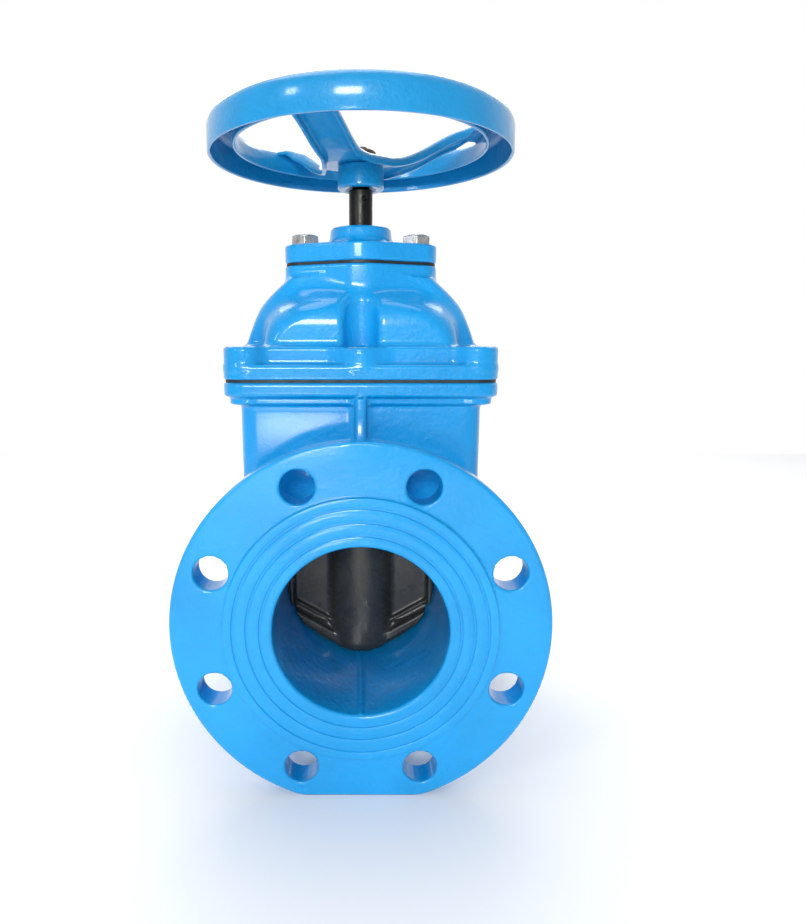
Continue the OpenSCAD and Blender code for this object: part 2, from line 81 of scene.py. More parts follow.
def high(node, axis):
    """Highest place of a CAD node along an axis, in millimetres from the pipe's axis."""
    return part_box(node)[1][axis] / MM - (AXIS_H if axis == 2 else 0)


# ---------------------------------------------------------------- sizes

# Pipe flanges and waterway.
HALF_LENGTH = high("body", 1)
FLANGE_R = high("body", 0)
FLANGE_FRONT = abs(MOUNTS["inlet_flange"]["pos_m"][1]) / MM
FLANGE_T = 16
FLANGE_BACK = FLANGE_FRONT - FLANGE_T
BOLT_PCR = MOUNTS["inlet_flange"]["dims"]["pcd_mm"] / 2
BOLT_R = MOUNTS["inlet_flange"]["dims"]["hole_r_mm"]
BOLT_COUNT = MOUNTS["inlet_flange"]["dims"]["count"]
FOOT_Z = -AXIS_H
BORE_R = 48.5
FACE_R = 75.5
FACE_GROOVES = (55, 62.3, 70)
SEAM_H, SEAM_W = 0.5, 1.6
NECK_R = 59
CAST_FILLET = 14

# Chest and joint of the body. A taper is the outward direction of a sloping side.
BELLY_R = 66
CHEST_X, CHEST_Y = 71.5, 44
CHEST_TAPER, Z_CHEST_TAPER, Z_CHEST_LOW = (0.967, -0.253), 20, -24
CAVITY_X, CAVITY_Y = 64, 36.5
JOINT_X, JOINT_Y = high("bonnet", 0), high("bonnet", 1)
JOINT_CORNER = 14
Z_JOINT = high("body", 2)
JOINT_T = 8.7
Z_JOINT_LOW = Z_JOINT - JOINT_T
STEP_T = 4.5
STEP_IN = 4
SCREW_X, SCREW_Y = 68, 37.5
SCREW_R, SCREW_GAP = 5, 0.5
SCREW_DEEP = 12
HEAD_R, HEAD_H, SOCKET_FLAT = 8, 7, 8
CORNER_BOSS_R, MID_BOSS_R = 12.5, 13
INNER_BOSS_R, Z_INNER_BOSS = 9.5, 115
RIB_HALF, RIB_Y = 3.2, 51
RIB_TAPER, Z_RIB_TAPER = (0.754, 0.657), 97
GUIDE_SLOT_X, GUIDE_SLOT_Y = 57.5, 8.5
GUIDE_TAPER, Z_GUIDE_TAPER = (0.763, -0.646), 9
RAIL_T, Z_RAIL_LOW = 5, 58
THROAT_Y = 16.5

# Bonnet.
Z_BONNET = low("bonnet", 2)
PLATE_T, TIER_H = 8.8, 10.2
TIER_IN_X, TIER_IN_Y = 6, 7.5
Z_PLATE = Z_BONNET + PLATE_T
Z_TIER = Z_PLATE + TIER_H
Z_HEAD = Z_PLATE + 0.2
Z_BONNET_TOP = high("bonnet", 2)
Z_ROOF = 186
DOME_X, DOME_Y, DOME_ARCH_R, DOME_ARCH_Z = 57.5, 39, 72, 127
LOBE_Y, LOBE_ARCH_R, LOBE_ARCH_Z = 16, 73.5, 135.5
DOME_EDGE, LOBE_EDGE = 8, 6
SHOULDER_R = 30
DOME_TOP = Z_ROOF + 8.5
WALL = 7.5
FLUTE_R, FLUTE_WALL = 9.6, 4.6
LOZENGE_DROP = 18

# Gland and its bolts.
GLAND_BOLT_X = 34.5
LOZENGE_MID, LOZENGE_END = 26, 12.8
Z_GLAND = low("gland", 2)
GLAND_T = 11
Z_GLAND_TOP = Z_GLAND + GLAND_T
Z_BOSS_TOP = high("gland", 2)
GLAND_BOSS_BASE, GLAND_BOSS_R = 19.8, 18.6
GLAND_BOLT_R, GLAND_BOLT_DEEP = 5, 14
HEX_FLAT, HEX_DISH = 16, 1.7
BOLT_DISH_R, NUT_DISH_R = 6.9, 7.6
BUSH_R, WIPER_R, Z_BUSH_TOP = 12.5, 10.5, 220.5

# Stem.
SHANK_R = 7.25
THREAD_R = 10
THREAD_LEAD, THREAD_DEEP = 4, 2.0
Z_THREAD_TOP = 172
Z_STEM_END = low("stem", 2)
Z_STEM_TOP = high("stem", 2)
Z_COLLAR, COLLAR_R, COLLAR_H = 194.6, 14, 6
POCKET_R, WASHER_ROOM = 15.5, 1.56
Z_HUB, Z_HUB_TOP = low("handwheel_hub", 2), high("handwheel_hub", 2)
HUB_R = high("handwheel_hub", 0)
Z_CROSS_HOLE, CROSS_HOLE_R, CROSS_HOLE_SLANT = 242.4, 1.3, 20
SQUARE_HALF = 5
STUD_R, STUD_PITCH, STUD_DEEP = 5, 1.5, 0.8

# Handwheel.
RIM_R = high("handwheel_rim", 0)
Z_RIM, Z_RIM_TOP = low("handwheel_rim", 2), high("handwheel_rim", 2)
PAD_R = RIM_R - 16.5
PAD_LONG, PAD_FLARE, PAD_DROP = 14, 4, 2.9
SPOKE_ANGLE = 5
SPOKE_W = 26
SPOKE_START, SPOKE_SWAY = 21, 0.07
SPIDER_R = 23
SHEET = 2.4
LIP_R, LIP_DEEP = 3.4, 4.8
RIM_INNER_DROP, RIM_ROUND = 15, 8
WELD = 0.4

# Wedge.
BAND_R, BAND_HALF, Z_BAND_TOP = 48, 11, -29
BARREL_R, NOSE_ROUND = 22, 8
WEB_HALF = 9
Z_WEDGE_LOW = low("wedge_rubber", 2)
Z_WEDGE_TOP = high("wedge_rubber", 2)
Z_SHOULDER = 58
BEAD_SLOPE = math.radians(30)
BEAD_IN, BEAD_LOW, BEAD_H, BEAD_HALF = 14, -43, 5.5, 16
BEAD_TRIM = BAND_R - 0.3
UPRIGHT_X, Z_UPRIGHT, CROSS_H = 44, -16, 6.5
LIP_UP, LIP_H, LIP_HALF = 9.5, 1.6, 12
HOUSING_HALF = 20
GUIDE_X, GUIDE_LOW, GUIDE_HALF = 55, 12, 6
SKIN = 2.5
TUNNEL_R, Z_TUNNEL = 11.5, -41
NUT_X, NUT_LOW, NUT_HIGH = 13, 62, 78

STILL = "valve_body"
TURNING = "stem_and_handwheel"
SLIDING = "wedge"

# ---------------------------------------------------------------- signed distances


def corner(a, b, r=0.0):
    """Where both distances are inside, with the edge between them rounded to radius r."""
    a, b = a + r, b + r
    return np.minimum(np.maximum(a, b), 0) + np.hypot(np.maximum(a, 0), np.maximum(b, 0)) - r


def span(w, lo, hi):
    """Distance to the layer between two values of w."""
    return np.abs(w - (lo + hi) / 2) - (hi - lo) / 2


def plate(u, v, half_u, half_v, r):
    """Distance to a rectangle with round corners."""
    return corner(np.abs(u) - half_u, np.abs(v) - half_v, r)


def join(a, b, k):
    """Union with a fillet of about radius k."""
    h = np.maximum(k - np.abs(a - b), 0) / k
    return np.minimum(a, b) - h * h * k / 4


def cut(a, b, k=0.6):
    """a without b, with the edge eased by k."""
    return -join(-a, b, k)


def meet(a, b, k):
    """Intersection with its edge rounded by k."""
    return -join(-a, -b, k)


def disc(u, v, r):
    """Distance to a circle."""
    return np.hypot(u, v) - r


def lozenge(x, y, grow=0.0):
    """Distance to the gland's outline: a round middle and two round ends, with straight flanks."""
    r1, r2, h = LOZENGE_MID + grow, LOZENGE_END + grow, GLAND_BOLT_X
    px, py = np.abs(y), np.abs(x)
    b = (r1 - r2) / h
    a = math.sqrt(1 - b * b)
    k = a * py - b * px
    flank = a * px + b * py - r1
    return np.where(k < 0, np.hypot(px, py) - r1, np.where(k > a * h, np.hypot(px, py - h) - r2, flank))


def tilt(u, w, normal):
    """Distance to a sloping plane with the given outward direction."""
    return normal[0] * u + normal[1] * w


def hexagon(x, y, flat):
    """Distance to a hexagon with the given width across its flats."""
    s = math.sqrt(3) / 2
    return np.maximum(np.abs(y), np.abs(y) / 2 + np.abs(x) * s) - flat / 2


def thread(x, y, z, r, pitch, depth, hand=1):
    """Distance to a threaded rod: hand is 1 for a right-hand thread and -1 for a left-hand one."""
    turn = z / pitch - hand * np.arctan2(y, x) / (2 * math.pi)
    wave = np.abs((turn % 1.0) - 0.5) * 2
    flank = np.clip(wave * 1.8 - 0.4, 0, 1)
    return (np.hypot(x, y) - r + depth * (1 - flank)) * 0.8


# ---------------------------------------------------------------- meshing


def grid_axis(lo, hi, step, mirrored):
    """Sample places from lo to hi, or from -hi to hi and symmetric about zero."""
    if mirrored:
        half = np.arange(0.37 * step, hi + 2 * step, step)
        return np.concatenate([-half[::-1], half]).astype(np.float32)
    return np.arange(lo - 1.63 * step, hi + 2 * step, step).astype(np.float32)


def sample(field, axes, mirror):
    """Values of the field at every grid place, worked out once for mirrored halves."""
    part = [a[len(a) // 2:] if m else a for a, m in zip(axes, mirror)]
    values = np.empty([len(a) for a in part], np.float32)
    x, y = np.meshgrid(part[0], part[1], indexing="ij")
    for k, z in enumerate(part[2]):
        values[:, :, k] = field(x, y, np.full_like(x, z))
    for axis in (0, 1):
        if mirror[axis]:
            values = np.concatenate([np.flip(values, axis), values], axis)
    return values


CUBE_CORNERS = np.array([(i, j, k) for i in (0, 1) for j in (0, 1) for k in (0, 1)])
CUBE_EDGES = [
    (a, b) for a in range(8) for b in range(a + 1, 8)
    if np.abs(CUBE_CORNERS[a] - CUBE_CORNERS[b]).sum() == 1
]


def cell_points(values, axes, cells):
    """One point in each cell that the surface crosses: the mean of its edge crossings."""
    at = [values[tuple((cells + c).T)] for c in CUBE_CORNERS]
    total = np.zeros((len(cells), 3), np.float32)
    count = np.zeros((len(cells), 1), np.float32)
    for a, b in CUBE_EDGES:
        crossed = (at[a] < 0) != (at[b] < 0)
        gap = at[a] - at[b]
        t = np.where(crossed, at[a] / np.where(gap == 0, 1, gap), 0)[:, None]
        point = CUBE_CORNERS[a] + t * (CUBE_CORNERS[b] - CUBE_CORNERS[a])
        total += np.where(crossed[:, None], point, 0)
        count += crossed[:, None]
    local = total / count
    step = [a[cells[:, i] + 1] - a[cells[:, i]] for i, a in enumerate(axes)]
    return np.stack([a[cells[:, i]] + local[:, i] * step[i] for i, a in enumerate(axes)], 1)


def surface_quads(inside, ids):
    """A quad round every grid edge that the surface crosses."""
    quads = []
    for axis in range(3):
        others = [i for i in range(3) if i != axis]
        lo_side, hi_side = [slice(1, -1)] * 3, [slice(1, -1)] * 3
        lo_side[axis], hi_side[axis] = slice(0, -1), slice(1, None)
        a, b = inside[tuple(lo_side)], inside[tuple(hi_side)]
        edge = np.argwhere(a != b)
        leaving = a[tuple(edge.T)]
        base = edge.copy()
        for o in others:
            base[:, o] += 1
        around = []
        for d1, d2 in ((0, 0), (1, 0), (1, 1), (0, 1)):
            c = base.copy()
            c[:, others[0]] -= d1
            c[:, others[1]] -= d2
            around.append(ids[tuple(c.T)])
        quad = np.stack(around, 1)
        flip = leaving if axis == 1 else ~leaving
        quad[flip] = quad[flip][:, ::-1]
        quads.append(quad)
    return np.concatenate(quads)


def slope_of(field, points, h):
    """Slope of the field at each point, over a distance of h each way."""
    x, y, z = points.T
    return np.stack([
        field(x + h, y, z) - field(x - h, y, z),
        field(x, y + h, z) - field(x, y - h, z),
        field(x, y, z + h) - field(x, y, z - h),
    ], 1) / (2 * h)


def settle(field, points, reach):
    """Moves the points onto the surface along the field's slope."""
    for _ in range(4):
        slope = slope_of(field, points, 0.02)
        size = np.maximum((slope ** 2).sum(1), 0.2)
        points = points - np.clip(field(*points.T) / size, -reach, reach)[:, None] * slope
    return points


def mesh_field(name, field, lo, hi, step, mirror=(True, True)):
    """Mesh object of the surface where the field is zero, inside the box from lo to hi."""
    mirror = (*mirror, False)
    axes = [grid_axis(lo[i], hi[i], step, mirror[i]) for i in range(3)]
    values = sample(field, axes, mirror)
    inside = values < 0
    blocks = [inside[i:inside.shape[0] - 1 + i, j:inside.shape[1] - 1 + j, k:inside.shape[2] - 1 + k]
              for i, j, k in CUBE_CORNERS]
    crossed = np.any(blocks, 0) & ~np.all(blocks, 0)
    cells = np.argwhere(crossed)
    ids = np.full(crossed.shape, -1, np.int64)
    ids[tuple(cells.T)] = np.arange(len(cells))
    points = cell_points(values, axes, cells).astype(np.float64)
    points = settle(field, points, step * 0.4)
    obj = place(name, points, surface_quads(inside, ids))
    normals = slope_of(field, points, 0.15 * step)
    normals /= np.maximum(np.linalg.norm(normals, axis=1), 1e-6)[:, None]
    obj.data.normals_split_custom_set_from_vertices(normals.tolist())
    return obj


def place(name, points, faces):
    """Object from points in millimetres from the pipe's axis, moved to metres above the floor."""
    points = np.asarray(points, float) * MM
    points[:, 2] += AXIS_H * MM
    mesh = bpy.data.meshes.new(name)
    mesh.from_pydata(points.tolist(), [], np.asarray(faces).tolist())
    mesh.update()
    mesh.shade_smooth()
    obj = bpy.data.objects.new(name, mesh)
    bpy.context.scene.collection.objects.link(obj)
    return obj


# ---------------------------------------------------------------- body


def body_outside(x, y, z):
    """The body's casting without its hollows."""
    ax, ay = np.abs(x), np.abs(y)
    rho = np.hypot(x, z)
    taper = tilt(ax - CHEST_X, z - Z_CHEST_TAPER, CHEST_TAPER)
    front = meet(meet(ax - CHEST_X, taper, CAST_FILLET), Z_CHEST_LOW - z, 6)
    front = join(front, rho - BELLY_R, 12)
    front = np.maximum(front, z - Z_JOINT_LOW - 1)
    chest = corner(front, ay - CHEST_Y, 10)
    shape = join(chest, corner(rho - NECK_R, ay - FLANGE_BACK - 2, 1), CAST_FILLET)
    flange = corner(rho - FLANGE_R, span(ay, FLANGE_BACK, FLANGE_FRONT), 1.8)
    shape = join(shape, flange, 8)
    rib_edge = join(ay - RIB_Y, tilt(ay - RIB_Y, z - Z_RIB_TAPER, RIB_TAPER), CAST_FILLET)
    rib_side = np.maximum(np.maximum(rib_edge, span(z, 40, Z_JOINT_LOW)), ay - FLANGE_BACK - 1)
    shape = join(shape, corner(ax - RIB_HALF, rib_side, 2), 5)
    step_plan = plate(x, y, JOINT_X - STEP_IN, JOINT_Y - STEP_IN, JOINT_CORNER - STEP_IN)
    for screw_x in (0, SCREW_X - 1):
        step_plan = join(step_plan, disc(ax - screw_x, ay - SCREW_Y, CORNER_BOSS_R - 3), 3)
    step = corner(step_plan, span(z, Z_JOINT_LOW - STEP_T, Z_JOINT_LOW + 2), 1.2)
    shape = join(shape, step, 3)
    joint = corner(plate(x, y, JOINT_X, JOINT_Y, JOINT_CORNER), span(z, Z_JOINT_LOW, Z_JOINT), 2)
    shape = join(shape, joint, 1.5)
    face = corner(rho - FACE_R + 0.05, ay - HALF_LENGTH + 0.8, 0.4)
    face = np.maximum(face, 70 - ay)
    return meet(join(shape, face, 0.8), FOOT_Z - z, 1.2)


def wedge_way(x, y, z):
    """Space that the wedge slides in, from the waterway up to the joint."""
    ax, ay = np.abs(x), np.abs(y)
    chest = corner(plate(x, y, CAVITY_X, CAVITY_Y, 8), BELLY_R - 6 - z, 4)
    rails = np.maximum(GUIDE_SLOT_X - ax, span(ay, GUIDE_SLOT_Y, GUIDE_SLOT_Y + RAIL_T))
    rails = np.maximum(rails, Z_RAIL_LOW - z)
    bosses = np.maximum(disc(x, ay - SCREW_Y, INNER_BOSS_R), Z_INNER_BOSS - z)
    chest = cut(cut(chest, rails, 2), bosses, 3)
    throat = np.maximum(join(plate(x, y, BORE_R, THROAT_Y, 2), disc(x, y, BARREL_R + 0.5), 1.5), -z)
    past = ax - GUIDE_SLOT_X
    slot = np.maximum(past, tilt(past, z - Z_GUIDE_TAPER, GUIDE_TAPER))
    slot = np.maximum(corner(slot, ay - GUIDE_SLOT_Y, 1), -4 - z)
    bottom = np.maximum(join(throat, slot, 1), z - BELLY_R)
    return join(chest, bottom, 1.5)


def body_shape(x, y, z):
    """The body with its waterway, wedge room, bolt holes and screw holes."""
    ax, ay = np.abs(x), np.abs(y)
    rho = np.hypot(x, z)
    seam = SEAM_H * np.exp(-(x / SEAM_W) ** 2) * (z < 0)
    shape = cut(body_outside(x, y, z), rho - BORE_R + seam, 1.6)
    shape = cut(shape, wedge_way(x, y, z), 1.6)
    turn = 2 * math.pi / BOLT_COUNT
    angle = (np.arctan2(z, x) % turn) - turn / 2
    hole = disc(rho * np.cos(angle) - BOLT_PCR, rho * np.sin(angle), BOLT_R)
    shape = cut(shape, np.maximum(hole, FLANGE_BACK - 8 - ay), 1.0)
    for screw_x in (0, SCREW_X):
        screw = np.maximum(disc(ax - screw_x, ay - SCREW_Y, SCREW_R), Z_JOINT - SCREW_DEEP - z)
        shape = cut(shape, screw)
    return shape


# ---------------------------------------------------------------- bonnet


def dome(x, y, z, inset, z_top, edge_r, blend):
    """Dome over the wedge with a lobe each side for the guides, drawn inwards by inset."""
    ax, ay = np.abs(x), np.abs(y)
    side = corner(ay - DOME_Y + inset, z - z_top, SHOULDER_R - inset)
    arch = disc(x, z - DOME_ARCH_Z, DOME_ARCH_R - inset)
    shape = corner(meet(arch, ax - DOME_X + inset, DOME_EDGE - inset), side, edge_r)
    lobe_arch = disc(x, np.maximum(z - LOBE_ARCH_Z, 0), LOBE_ARCH_R - inset)
    lobe = corner(lobe_arch, ay - LOBE_Y + inset, LOBE_EDGE - inset / 2)
    return join(shape, np.maximum(lobe, z - z_top), blend)


def bonnet_outside(x, y, z):
    """The bonnet's casting without its hollows."""
    ax, ay = np.abs(x), np.abs(y)
    crown = np.clip((z - 150) / 30, 0, 1)
    shape = dome(x, y, z, 0, DOME_TOP, 5 + 21 * crown, 9 + 6 * crown)
    shape = join(shape, np.maximum(lozenge(x, y), Z_ROOF - LOZENGE_DROP - z), 4.5)
    shape = corner(shape, z - Z_BONNET_TOP, 1.5)
    tier = plate(x, y, JOINT_X - TIER_IN_X, JOINT_Y - TIER_IN_Y, JOINT_CORNER - 4)
    tier = join(tier, disc(ax - SCREW_X, ay - SCREW_Y, CORNER_BOSS_R), 4)
    tier = join(tier, disc(x, ay - SCREW_Y, MID_BOSS_R), 9)
    shape = join(shape, corner(tier, span(z, Z_BONNET + 4, Z_TIER), 2.2), 4)
    joint = corner(plate(x, y, JOINT_X, JOINT_Y, JOINT_CORNER), span(z, Z_BONNET - 3, Z_PLATE), 2)
    return corner(join(shape, joint, 2), Z_BONNET - z, 1)


def bonnet_shape(x, y, z):
    """The bonnet with its flutes, hollow, stem way and screw pockets."""
    ax, ay = np.abs(x), np.abs(y)
    flute = np.maximum(disc(x, ay - SCREW_Y, FLUTE_R), Z_TIER - z)
    shape = cut(bonnet_outside(x, y, z), flute, 4.5)
    hollow = cut(dome(x, y, z, WALL, Z_ROOF, 3, 3), disc(x, ay - SCREW_Y, FLUTE_R + FLUTE_WALL), 3)
    shape = cut(shape, hollow, 1)
    stem_way = np.minimum(
        np.maximum(disc(x, y, THREAD_R + 0.06), Z_ROOF - 1 - z),
        np.maximum(disc(x, y, POCKET_R), Z_COLLAR - WASHER_ROOM - z),
    )
    shape = cut(shape, stem_way, 0.8)
    bolt = np.maximum(disc(ax - GLAND_BOLT_X, y, GLAND_BOLT_R), Z_BONNET_TOP - GLAND_BOLT_DEEP - z)
    shape = cut(shape, bolt)
    for screw_x in (0, SCREW_X):
        plan = np.hypot(ax - screw_x, ay - SCREW_Y)
        shape = cut(shape, np.maximum(plan - SCREW_R - SCREW_GAP, z - Z_PLATE - 4))
        shape = cut(shape, np.maximum(plan - HEAD_R - SCREW_GAP, Z_HEAD - z), 1.2)
    return shape


# ---------------------------------------------------------------- gland and bolts


def gland_shape(x, y, z):
    """Lozenge plate with a round boss, bored for the bush and the wiper."""
    ax = np.abs(x)
    climb = (z - Z_GLAND_TOP) / (Z_BOSS_TOP - Z_GLAND_TOP)
    boss_r = GLAND_BOSS_BASE - (GLAND_BOSS_BASE - GLAND_BOSS_R) * climb
    boss = corner(disc(x, y, boss_r), span(z, Z_GLAND + 1, Z_BOSS_TOP), 1.6)
    shape = join(corner(lozenge(x, y), span(z, Z_GLAND, Z_GLAND_TOP), 1.6), boss, 5)
    shape = cut(shape, np.maximum(disc(x, y, BUSH_R), z - Z_BUSH_TOP), 0.5)
    shape = cut(shape, np.maximum(disc(x, y, WIPER_R), Z_BUSH_TOP - 1.5 - z), 0.9)
    return cut(shape, disc(ax - GLAND_BOLT_X, y, GLAND_BOLT_R + SCREW_GAP))


def gland_bolt_shape(x, y, z):
    """Two hexagon-head bolts with dished corners."""
    u = np.abs(x) - GLAND_BOLT_X
    head_top = high("gland_bolts", 2)
    dish = disc(u, y, BOLT_DISH_R) + HEX_DISH * (z - head_top)
    head = meet(corner(hexagon(y, u, HEX_FLAT), span(z, Z_GLAND_TOP, head_top), 0.5), dish, 0.8)
    shank = corner(disc(u, y, GLAND_BOLT_R), span(z, low("gland_bolts", 2), Z_GLAND_TOP + 1), 0.8)
    return join(head, shank, 0.3)


def bonnet_screw_shape(x, y, z):
    """Six socket-head screws."""
    u, v = np.abs(x), np.abs(y) - SCREW_Y
    u = np.minimum(u, np.abs(u - SCREW_X))
    head = corner(disc(u, v, HEAD_R), span(z, Z_HEAD, Z_HEAD + HEAD_H), 0.8)
    head = cut(head, np.maximum(hexagon(v, u, SOCKET_FLAT), Z_HEAD + 2 - z), 0.4)
    shank = corner(disc(u, v, SCREW_R), span(z, low("bonnet_screws", 2), Z_HEAD + 1), 0.8)
    return join(head, shank, 0.3)


# ---------------------------------------------------------------- stem and handwheel


def stem_shape(x, y, z):
    """Stem from its threaded end to the square in the hub."""
    rho = np.hypot(x, y)
    screw = thread(x, y, z, THREAD_R, THREAD_LEAD, THREAD_DEEP, -1)
    screw = np.maximum(np.where(z > Z_THREAD_TOP, rho - THREAD_R, screw), span(z, Z_STEM_END, Z_COLLAR + 1))
    screw = meet(screw, rho - THREAD_R + 2.5 - (z - Z_STEM_END), 1)
    collar = corner(rho - COLLAR_R, span(z, Z_COLLAR, Z_COLLAR + COLLAR_H), 0.8)
    shank = corner(rho - SHANK_R, span(z, Z_COLLAR, Z_HUB), 0.8)
    square = corner(plate(x, y, SQUARE_HALF, SQUARE_HALF, 0.8), span(z, Z_HUB - 2, Z_HUB_TOP + 1), 0.6)
    shape = join(join(join(screw, collar, 1), shank, 0.8), square, 0.6)
    slant = math.radians(CROSS_HOLE_SLANT)
    across = x * math.cos(slant) + y * math.sin(slant)
    return cut(shape, np.hypot(across, z - Z_CROSS_HOLE) - CROSS_HOLE_R)


def stud_shape(x, y, z):
    """Threaded stud on the stem's top."""
    rho = np.hypot(x, y)
    rod = thread(x, y, z, STUD_R, STUD_PITCH, STUD_DEEP)
    rod = meet(rod, rho - 4.2 - (Z_STEM_TOP - z), 0.5)
    return np.maximum(rod, span(z, Z_HUB_TOP - 1, Z_STEM_TOP))


def hub_shape(x, y, z):
    """Handwheel hub with its square hole."""
    rho = np.hypot(x, y)
    shape = corner(rho - HUB_R, span(z, Z_HUB, Z_HUB_TOP), 1.6)
    shape = cut(shape, rho - SHANK_R - 2.5 + (z - Z_HUB))
    return cut(shape, plate(x, y, SQUARE_HALF + 0.05, SQUARE_HALF + 0.05, 0.8), 0.4)


def spoke_height(u):
    """Height of the pressed plate's middle along a spoke, and its slope."""
    z0, z1 = Z_HUB_TOP + SHEET / 2, Z_RIM_TOP - PAD_DROP
    start, end = SPOKE_START - 3, PAD_R - 6
    t = np.clip((u - start) / (end - start), 0, 1)
    ease = t - SPOKE_SWAY * np.sin(2 * math.pi * t)
    rate = (1 - 2 * math.pi * SPOKE_SWAY * np.cos(2 * math.pi * t)) / (end - start)
    rate = np.where((t > 0) & (t < 1), rate, 0)
    return z0 + (z1 - z0) * ease, (z1 - z0) * rate


def spider_shape(x, y, z):
    """Pressed plate with three spokes, its edges turned down all the way round."""
    rho = np.hypot(x, y)
    third = 2 * math.pi / 3
    angle = (np.arctan2(y, x) - math.radians(SPOKE_ANGLE) + third / 2) % third - third / 2
    u, v = rho * np.cos(angle), rho * np.sin(angle)
    height, rise = spoke_height(u)
    near_pad = np.clip((u - PAD_R + PAD_LONG) / PAD_LONG, 0, 1)
    spoke = corner(np.abs(v) - SPOKE_W / 2 - PAD_FLARE * near_pad ** 2, -u)
    plan = join(spoke, rho - SPIDER_R, 12)
    up = (z - height) / np.sqrt(1 + rise ** 2)
    flat = np.clip(near_pad * 1.6, 0, 1)
    sheet = np.abs(corner(up, plan + SHEET / 2, LIP_R - (LIP_R - 0.3) * flat)) - SHEET / 2
    skirt = LIP_DEEP - (LIP_DEEP - SHEET / 2) * flat
    inward, above = np.minimum(rho - PAD_R - RIM_ROUND, 0), np.maximum(z - Z_RIM_TOP + RIM_ROUND, 0)
    rim = RIM_ROUND - np.hypot(inward, above)
    shape = corner(corner(sheet, -up - skirt, 0.4), rim - WELD, 0.3)
    return cut(shape, rho - STUD_R - 0.5, 0.4)


# ---------------------------------------------------------------- wedge


def bead_bar(ax, z, z_low, thick):
    """Sloping bar of a bead or lip, starting under the barrel and trimmed to the waterway."""
    c, s = math.cos(BEAD_SLOPE), math.sin(BEAD_SLOPE)
    along = (ax - BEAD_IN) * c + (z - z_low) * s
    up = -(ax - BEAD_IN) * s + (z - z_low) * c
    return np.maximum(np.maximum(span(up, 0, thick), -along), disc(ax, z, BEAD_TRIM))


def wedge_outside(x, y, z):
    """The wedge's moulded outside."""
    ax, ay = np.abs(x), np.abs(y)
    rho = np.hypot(x, z)
    web_front = np.minimum(rho - BAND_R, np.maximum(ax - BAND_R, -z))
    web_front = np.maximum(web_front, z - Z_SHOULDER)
    shape = corner(web_front, ay - WEB_HALF, 2)
    band = np.maximum(rho - BAND_R, z - Z_BAND_TOP)
    shape = join(shape, corner(band, ay - BAND_HALF, 1.5), 3)
    lip = bead_bar(ax, z, BEAD_LOW + LIP_UP / math.cos(BEAD_SLOPE), LIP_H)
    shape = join(shape, corner(lip, ay - LIP_HALF, 0.7), 2)
    bead = bead_bar(ax, z, BEAD_LOW, BEAD_H)
    upright = np.maximum(span(ax, UPRIGHT_X, BAND_R - 0.5), span(z, Z_UPRIGHT, Z_SHOULDER - 1))
    crosspiece = np.maximum(span(z, Z_SHOULDER - CROSS_H, Z_SHOULDER - 1), ax - BAND_R + 1)
    bead = np.minimum(bead, np.minimum(upright, crosspiece))
    shape = join(shape, corner(bead, ay - BEAD_HALF, 1.4), 3)
    barrel = corner(disc(x, y, BARREL_R), span(z, Z_WEDGE_LOW, Z_SHOULDER + 4), NOSE_ROUND)
    shape = corner(join(shape, barrel, 3), disc(x, np.minimum(z, 0), BAND_R), 1)
    housing = corner(plate(x, y, HOUSING_HALF, HOUSING_HALF, 3), span(z, Z_SHOULDER, Z_WEDGE_TOP), 2)
    shape = join(shape, housing, 3)
    guide = corner(np.maximum(ax - GUIDE_X, span(z, GUIDE_LOW, Z_SHOULDER)), ay - GUIDE_HALF, 1)
    return join(shape, guide, 1)


def wedge_rubber_shape(x, y, z):
    """The wedge's rubber skin, open at the tunnel and at the nut's slot."""
    outside = wedge_outside(x, y, z)
    shape = np.maximum(outside, -outside - SKIN)
    shape = cut(shape, np.maximum(disc(x, y, TUNNEL_R), Z_TUNNEL - z), 1)
    return cut(shape, np.maximum(np.abs(x) - NUT_X, span(z, NUT_LOW, NUT_HIGH)), 0.8)


def wax_shape(x, y, z):
    """Wax poured over the bonnet screws, sagging in the middle and a little uneven."""
    ax = np.abs(x)
    u = np.minimum(ax, np.abs(ax - SCREW_X))
    v = np.abs(y) - SCREW_Y
    rho = np.hypot(u, v)
    pocket_r = HEAD_R + SCREW_GAP
    sag = 1.2 * (1 - (rho / pocket_r) ** 2)
    top = high("screw_seals", 2) - sag + 0.1 * np.sin(x * 0.35 + y * 0.5)
    return corner(rho - pocket_r + 0.05, np.maximum(z - top, low("screw_seals", 2) - z), 0.3)


def nut_shape(x, y, z):
    """Thin hexagon nut with chamfered corners."""
    z0, z1 = low("handwheel_nut", 2), high("handwheel_nut", 2)
    rho = np.hypot(x, y)
    chamfer = rho - NUT_DISH_R - HEX_DISH * np.minimum(z1 - z, z - z0)
    shape = meet(corner(hexagon(x, y, HEX_FLAT), span(z, z0, z1), 0.3), chamfer, 0.5)
    shape = cut(shape, thread(x, y, z, STUD_R + 0.1, STUD_PITCH, STUD_DEEP), 0.2)
    return cut(shape, rho - STUD_R - 0.6 + np.minimum(z1 - z, z - z0), 0.3)


# ---------------------------------------------------------------- lathe


def arc(cu, cw, r, start, end, count=10):
    """Points along an arc, with angles in degrees."""
    angles = np.radians(np.linspace(start, end, count))
    return [(cu + r * math.cos(a), cw + r * math.sin(a)) for a in angles]


